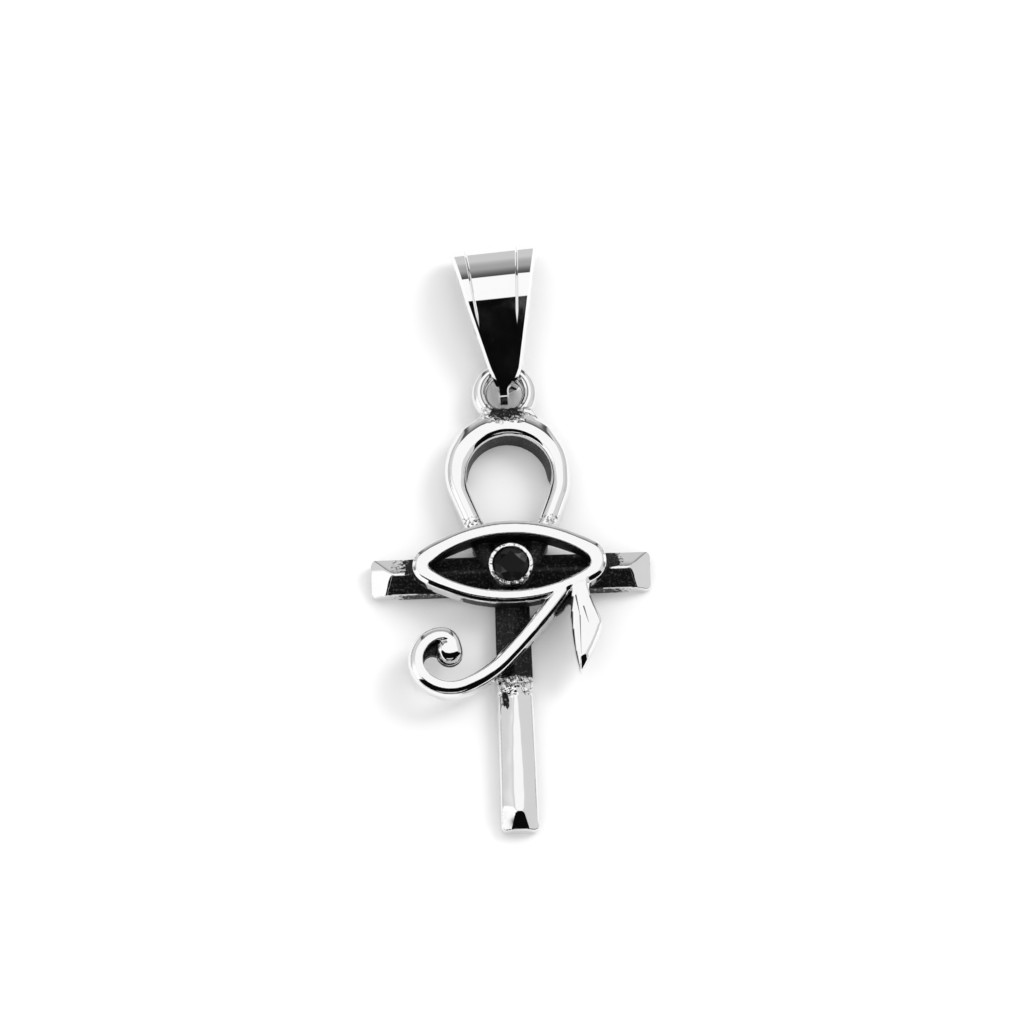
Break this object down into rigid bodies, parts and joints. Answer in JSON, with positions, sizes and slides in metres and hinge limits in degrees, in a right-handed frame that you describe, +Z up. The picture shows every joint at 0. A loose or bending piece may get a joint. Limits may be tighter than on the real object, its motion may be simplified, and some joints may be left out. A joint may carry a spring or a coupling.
{
  "type": "eye of horus pendant",
  "caption": "Flat cast ankh pendant with a raised open Eye of Horus, a round stone in its pupil, a soldered hanging ring and a folded tapered bail for a chain.",
  "frame": {"origin": "on the surface that the pendant lies on, under the middle of its box", "axes": "+Y from the foot of the shaft towards the bail, +X to the right along the arms seen from the front, +Z up out of the front"},
  "size_m": [0.0216, 0.0478, 0.0039],
  "materials": {
    "polished_steel": "mirror-polished stainless steel, blackened in the recesses",
    "bail_steel": "mirror-polished stainless steel sheet",
    "black_stone": "black, faceted and polished"
  },
  "bodies": {
    "root": {"ankh": "polished_steel", "stone": "black_stone", "bail": "bail_steel"}
  },
  "joints": []
}
